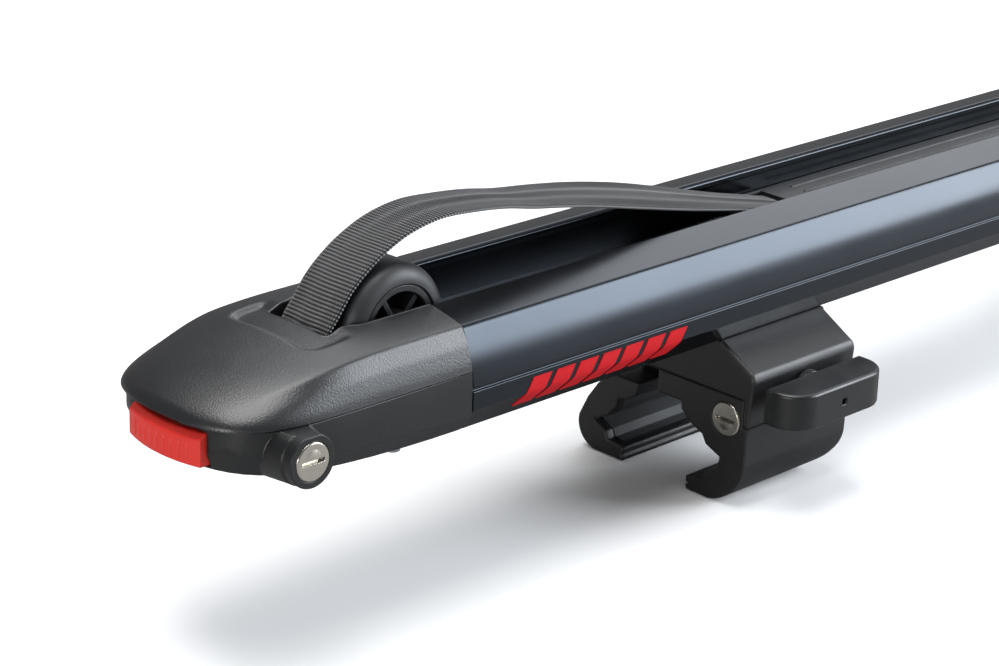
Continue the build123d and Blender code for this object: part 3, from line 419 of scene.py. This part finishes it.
def makeCover(end):
    shape = coverShape
    a = np.concatenate([
        np.linspace(0.15, shape["openEnd"], 48, endpoint=False),
        np.linspace(shape["openEnd"], 108, 56, endpoint=False),
        shape["reach"] - 9.3 * (1 - np.sin(np.linspace(0, np.pi / 2, 22))),
    ])
    # Columns: a middle block as wide as the opening, and a strip down each flank to the lip
    inner = openHalfAt(np.minimum(a, shape["openEnd"])) / coverHalf(shape["openEnd"])
    innerShare = np.interp(inner, sectionLine[:, 0], sectionRun)
    middle = np.linspace(-1, 1, 41)[None, :] * innerShare[:, None]
    down = np.linspace(0, 1, 47)[None, 1:]
    flank = innerShare[:, None] + (1 - innerShare[:, None]) * down
    share = np.concatenate([-flank[:, ::-1], middle, flank], axis=1)
    v, z = coverSkin(a[:, None], share)
    # The nose is blunt in plan: its last rows bulge forward in the middle
    bulge = 0.9 * smoothStep((a[:, None] - 108) / 9) * (1 - (v / coverHalf(a)[:, None]) ** 2)
    skin = place(end, a[:, None] + bulge - 0.9 * smoothStep((a[:, None] - 108) / 9), v, z)
    rows, columns = share.shape
    faces = gridFaces(rows, columns)
    row, column = faces[:, 0] // columns, faces[:, 0] % columns
    isOpen = (a[row] < shape["openEnd"] - 0.1) & (column >= 46) & (column < 86)
    cover = newPiece(
        end + "_cover_shell", [(skin.reshape(-1, 3), faces[~isOpen])], "cover_plastic", "root",
        [end + "_end_cap_cover"]
    )
    addModifier(cover, "SOLIDIFY", thickness=shape["wall"] * mm, offset=-1.0)
    addModifier(
        cover, "BEVEL", width=0.45 * mm, segments=3, limit_method="ANGLE", angle_limit=np.radians(50),
        harden_normals=True
    )
    # The well: a wall with a rolled top edge, carried round the opening
    corner = 3.0
    turn = np.linspace(0, np.pi / 2, 9)
    side = np.linspace(0.4, shape["openEnd"] - corner, 40, endpoint=False)
    narrow = shape["openHalf"][1]
    bendA = shape["openEnd"] - corner + corner * np.sin(turn)
    bendV = narrow - corner + corner * np.cos(turn)
    front = np.linspace(narrow - corner, 0, 12, endpoint=False)[1:]
    halfA = np.concatenate([side, bendA, np.full(len(front), shape["openEnd"])])
    halfV = np.concatenate([openHalfAt(side), bendV, front])
    pathA = np.concatenate([halfA, [shape["openEnd"]], halfA[::-1]])
    pathV = np.concatenate([-halfV, [0], halfV[::-1]])
    tangent = np.stack([np.gradient(pathA), np.gradient(pathV)], axis=1)
    tangent /= np.linalg.norm(tangent, axis=1)[:, None]
    outA, outV = -tangent[:, 1], tangent[:, 0]
    outward = np.sign(outV * pathV + 1e-9 + outA * (pathA > shape["openEnd"] - corner))
    roll = np.linspace(np.pi, 0, 9)
    section = np.concatenate([
        [[-0.45, -shape["wellDepth"]]],
        np.stack([0.3 + 0.75 * np.cos(roll), -0.62 + 0.75 * np.sin(roll)], axis=1),
        [[1.05, -2.4], [0.55, -2.9], [0.55, -shape["wellDepth"]]],
    ])
    top = coverSkin(pathA, np.interp(np.abs(pathV) / coverHalf(pathA), sectionLine[:, 0], sectionRun))[1]
    away = section[None, :, 0] * outward[:, None]
    wellA = pathA[:, None] + outA[:, None] * away
    wellV = pathV[:, None] + outV[:, None] * away
    well = place(end, wellA, wellV, top[:, None] + section[None, :, 1])
    newPiece(end + "_cover_well", [carried(well)], "cover_plastic", "root")


for end in ends:
    makeCover(end)
print("covers moulded")


def softened(node, slot, body, width, fine, broad=None, angle=28, segments=3):
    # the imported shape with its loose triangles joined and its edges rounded;
    # broad picks, by their middles, the edges that take the full width, and the rest take fine
    shell = bmesh.new()
    shell.from_mesh(nodes[node].data)
    bmesh.ops.remove_doubles(shell, verts=shell.verts[:], dist=0.002 * mm)
    turns = np.array([edge.calc_face_angle(0.0) for edge in shell.edges])
    middles = np.array([(edge.verts[0].co + edge.verts[1].co) / 2 for edge in shell.edges])
    mesh = bpy.data.meshes.new(node + "_moulded")
    shell.to_mesh(mesh)
    shell.free()
    weights = np.where(turns > np.radians(angle), fine / width, 0.0)
    if broad:
        end = node.split("_")[0]
        a = middles[:, 0] * ends[end] / mm - beamEnd / mm
        picked = broad(a, (middles[:, 1] - beamY) / mm, (middles[:, 2] - waistZ) / mm)
        weights[(turns > np.radians(angle)) & picked] = 1.0
    attribute = mesh.attributes.new("bevel_weight_edge", "FLOAT", "EDGE")
    attribute.data.foreach_set("value", weights)
    piece = finishPiece(node + "_moulded", mesh, slot, body, [node], sharpAngle=None)
    addModifier(
        piece, "BEVEL", width=width * mm, segments=segments, limit_method="WEIGHT", use_clamp_overlap=False
    )
    # large faces keep their own normals, so flats stay flat beside a rounded edge
    addModifier(piece, "WEIGHTED_NORMAL", mode="FACE_AREA", weight=50)


clampA = -187.0  # the clamps' middles, as a distance outboard of the beam's end
softened("beam", "anodised_black", "root", 0.35, 0.35)
softened("channel_insert", "insert_plastic", "root", 0.4, 0.4)
for end in ends:
    softened(end + "_end_cap_case", "case_plastic", "root", 0.4, 0.4)
    softened(end + "_release_button", "button_red", end + "_button", 0.7, 0.7, segments=4)
    softened(end + "_roller_hub", "hub_plastic", end + "_roller", 0.35, 0.35)
    softened(end + "_cap_lock_core", "nickel", end + "_cap_lock", 0.15, 0.15)
    softened(end + "_clamp_lock_core", "nickel", end + "_clamp_lock", 0.15, 0.15)
    softened(
        end + "_clamp_housing", "clamp_plastic", end + "_clamp", 2.4, 0.35,
        lambda a, v, z: ((np.abs(a - clampA) > 33.5) & (z > -40) | (v < -56.5) & (z > -50)) & (z < -19.5),
        segments=5,
    )
    softened(end + "_rear_jaw", "clamp_plastic", end + "_rear_jaw", 0.6, 0.6)
    softened(end + "_front_jaw_pad", "pad_rubber", end + "_clamp", 0.6, 0.6)
    softened(end + "_rear_jaw_pad", "pad_rubber", end + "_rear_jaw", 0.6, 0.6)
    softened(end + "_clamp_knob", "knob_rubber", end + "_knob", 0.8, 0.8, segments=4)
print("moulded edges rounded")


# The roller's tyre: a closed profile of distance along the axle and radius, turned about the axle
tyreShape = {"a": 12.7, "z": 20.8, "half": 17.7, "radius": 25.4, "bore": 17.65, "shoulder": 7.0, "dish": 0.5}


def makeTyre(end):
    shape = tyreShape
    turn = np.linspace(0, np.pi / 2, 12)
    bend = np.stack([
        shape["half"] - shape["shoulder"] * (1 - np.cos(turn)),
        shape["radius"] - shape["shoulder"] * (1 - np.sin(turn)),
    ], axis=1)
    lip = np.array([
        [shape["half"] - 1.0, shape["bore"]], [shape["half"] - 0.9, shape["bore"] + 0.5],
        [shape["half"] - shape["dish"] - 0.5, shape["bore"] + 0.7], [shape["half"] - shape["dish"], shape["bore"] + 1.4],
    ])
    crown = np.array([[7.0, shape["radius"]], [0.7, shape["radius"]], [0.35, shape["radius"] + 0.1]])
    half = np.vstack([lip, bend, crown])
    profile = np.vstack([half, (half * (-1, 1))[::-1]])
    around = np.linspace(0, 2 * np.pi, 120, endpoint=False)
    v = np.broadcast_to(profile[None, :, 0], (len(around), len(profile)))
    a = shape["a"] + np.cos(around)[:, None] * profile[None, :, 1]
    z = shape["z"] + np.sin(around)[:, None] * profile[None, :, 1]
    rows, columns = v.shape
    loops = place(end, a, v, z)
    loops = np.concatenate([loops, loops[:1]])
    faces = gridFaces(rows + 1, columns, wrap=True) % (rows * columns)
    newPiece(
        end + "_roller_cover", [(loops[:-1].reshape(-1, 3), faces)], "tyre_rubber", end + "_roller",
        [end + "_roller_tyre"]
    )


for end in ends:
    makeTyre(end)
print("rollers turned")


# Plain slanted bars in red along the beam's lower band, and small grip ribs on each button
barPaint = patterned(
    "redBarPaint", {"IOR": 1.45, "Specular IOR Level": 0.25}, ("#bd1019", "#c8161f"), 15, (0.5, 0.6), 0.5, 0.01
)
barShape = {"count": 7, "from": 30.0, "pitch": 13.2, "width": 10.2, "slant": 0.62}
ribShape = {"count": 9, "pitch": 3.9, "half": 0.75, "proud": 0.35, "low": -6.2, "high": 0.8, "bulge": 66.0}


def makeBars(end):
    # each bar is a flat section carried down the band's upright part and on round its bevelled foot
    shape = barShape
    down = np.array([(46.0, -1.9), (46.0, -4.6), (46.0, -7.2), (45.7, -8.2), (44.3, -10.1), (41.9, -13.2)])
    out = np.array([(1, 0), (1, 0), (0.99, -0.14), (0.9, -0.44), (0.8, -0.6), (0.8, -0.6)])
    run = np.concatenate([[0], np.cumsum(np.linalg.norm(np.diff(down, axis=0), axis=1))])
    bars = []
    for bar in range(shape["count"]):
        start = shape["from"] + bar * shape["pitch"] - shape["slant"] * (run - 4.0)
        section = np.array([(0, -0.5), (0, 0.25), (0.02, 0.45), (0.98, 0.45), (1, 0.25), (1, -0.5)])
        along = start[:, None] + section[None, :, 0] * shape["width"]
        height = section[None, :, 1]
        v = -(down[:, :1] + out[:, :1] * height)
        z = down[:, 1:] + out[:, 1:] * height
        bars.append(carried(place(end, -along, v, z)))
    paint = newPiece(end + "_side_bars", bars, "button_red", "root")
    paint.data.materials[0] = barPaint


def makeRibs(end):
    # each rib is a flattened oval section carried upwards, narrowing to nothing at both ends
    shape = ribShape
    up = np.linspace(-1, 1, 9)
    size = np.sqrt(1 - up**6 * 0.96)
    turn = np.linspace(0, 2 * np.pi, 12, endpoint=False)
    ribs = []
    for rib in range(shape["count"]):
        middle = (rib - (shape["count"] - 1) / 2) * shape["pitch"]
        v = middle + shape["half"] * size[:, None] * np.cos(turn)[None, :]
        front = 117.0 - shape["bulge"] + np.sqrt(shape["bulge"] ** 2 - v**2)
        a = front + shape["proud"] * size[:, None] * np.sin(turn)[None, :]
        z = (shape["low"] + shape["high"]) / 2 + up[:, None] * (shape["high"] - shape["low"]) / 2
        ribs.append(carried(place(end, a, v, np.broadcast_to(z, v.shape))))
    newPiece(end + "_button_ribs", ribs, "button_red", end + "_button")


for end in ends:
    makeBars(end)
    makeRibs(end)
print("bars and ribs added")


# A low half dome beside each key slot: the outline shrinks as the square root of what is left
# of the height, so the hood rises straight up from the slot and rolls down to the face.
hoodShape = {"radius": 3.8, "clear": 1.1, "proud": 0.5, "sunk": 0.3}


def makeHood(end, lock, above):
    shape = hoodShape
    low, high = [np.array(corner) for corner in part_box(f"{end}_{lock}_core")]
    x, y, z = (low + high) / 2
    turn = np.linspace(0, np.pi, 25)[None, :]
    rise = np.linspace(0, 1, 9)[:, None]
    size = np.vstack([[[1.0]], np.sqrt(1 - 0.97 * rise)]) * shape["radius"] * mm
    out = np.vstack([[[-shape["sunk"]]], shape["proud"] * rise]) * mm
    along, up = size * np.cos(turn), above * (shape["clear"] * mm + size * np.sin(turn))
    if lock == "cap_lock":
        hood = np.broadcast_arrays(x + along, low[1] - out, z + up)
    else:
        face = ends[end] * max(abs(low[0]), abs(high[0]))
        hood = np.broadcast_arrays(face + ends[end] * out, y + along, z + up)
    newPiece(f"{end}_{lock}_hood", [carried(np.stack(hood, axis=-1))], "nickel", f"{end}_{lock}")


def makeCoil(end):
    # the button's spring again, as a copy of its own mesh with the steel finish
    shape = coilShape
    node = end + "_button_spring"
    coil = finishPiece(end + "_button_coil", nodes[node].data.copy(), "steel", "root", [node])
    anchor = place(end, shape["seat"], 0, 0)
    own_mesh(coil)


coilShape = {"seat": 89.1, "keep": 0.73}
for end in ends:
    makeHood(end, "cap_lock", 1)
    makeHood(end, "clamp_lock", -1)
    makeCoil(end)
print("lock hoods and springs added")


stageLook = {"floor": "#fafafa", "mirrored": "#909090", "floorHalf": 7.0, "world": "#ffffff", "seen": 1.0, "lighting": 0.2}
floorMesh = bpy.data.meshes.new("floor")
half = stageLook["floorHalf"]
floorMesh.from_pydata(
    [(-half, -half, -0.0005), (half, -half, -0.0005), (half, half, -0.0005), (-half, half, -0.0005)],
    [],
    [(0, 1, 2, 3)],
)
floor = bpy.data.objects.new("floor", floorMesh)
bpy.context.collection.objects.link(floor)
floorMaterial, floorTree, floorSurface = newMaterial("paleFloor", {"Roughness": 0.9})
# white to the eye, but greyer where the carrier mirrors it, so that its low faces stay dark
floorShade = addNode(
    floorTree,
    "ShaderNodeMix",
    {"data_type": "RGBA", 6: toLinear(stageLook["mirrored"]), 7: toLinear(stageLook["floor"])},
    {0: addNode(floorTree, "ShaderNodeLightPath").outputs["Is Camera Ray"]},
)
floorTree.links.new(floorShade.outputs[2], floorSurface.inputs["Base Color"])
floorMesh.materials.append(floorMaterial)

world = bpy.data.worlds.new("paleStudio")
world.use_nodes = True
worldTree = world.node_tree
worldTree.nodes["Background"].inputs["Color"].default_value = toLinear(stageLook["world"])
# the backdrop is white, but lights the black carrier only a little, as a dark studio would
strength = addNode(
    worldTree,
    "ShaderNodeMapRange",
    {"To Min": stageLook["lighting"], "To Max": stageLook["seen"]},
    {"Value": addNode(worldTree, "ShaderNodeLightPath").outputs["Is Camera Ray"]},
)
worldTree.links.new(strength.outputs["Result"], worldTree.nodes["Background"].inputs["Strength"])
bpy.context.scene.world = world
bpy.context.scene.view_settings.view_transform = "Standard"


def softBox(name, spot, aim, size, power, tint):
    # a rectangular lamp that faces a point of the carrier
    lamp = bpy.data.lights.new(name, "AREA")
    lamp.shape = "RECTANGLE"
    lamp.size, lamp.size_y = size
    lamp.energy = power
    lamp.color = toLinear(tint)[:3]
    holder = bpy.data.objects.new(name, lamp)
    bpy.context.collection.objects.link(holder)
    back = np.array(spot) - np.array(aim)
    back = back / np.linalg.norm(back)
    right = np.cross([0, 0, 1], back)
    right /= np.linalg.norm(right)
    axes = np.eye(4)
    axes[:3, 0], axes[:3, 1], axes[:3, 2], axes[:3, 3] = right, np.cross(back, right), back, spot
    holder.matrix_world = Matrix(axes.tolist())


softBox("topBox", (-0.5, 0.1, 2.0), (-0.2, 0, 0.1), (1.6, 1.2), 42, "#ffffff")
softBox("sideBox", (1.2, -1.16, 0.85), (-0.25, 0, 0.1), (1.3, 1.36), 62, "#f2f8ff")
softBox("backBox", (1.07, 0.7, 1.42), (-0.25, 0, 0.1), (1.6, 1.6), 18, "#f8fbff")
softBox("noseBox", (-2.2, -0.6, 0.3), (-0.45, 0, 0.08), (0.8, 0.4), 14, "#ffffff")

# A long lens about a metre and a half from the near end
cameraLook = {
    "place": (-1.0374, -0.7006, 0.4728),
    "right": (0.7208, -0.6925, 0.0291),
    "up": (0.2271, 0.2756, 0.9341),
    "back": (-0.6549, -0.6667, 0.3559),
    "lens": 94.38,
}
camera = bpy.data.cameras.new("camera")
camera.lens = cameraLook["lens"]
camera.clip_start = 0.05
cameraHolder = bpy.data.objects.new("camera", camera)
bpy.context.collection.objects.link(cameraHolder)
axes = np.eye(4)
for column, key in enumerate(("right", "up", "back", "place")):
    axes[:3, column] = cameraLook[key]
cameraHolder.matrix_world = Matrix(axes.tolist())
bpy.context.scene.camera = cameraHolder
print("stage, lights and camera set")
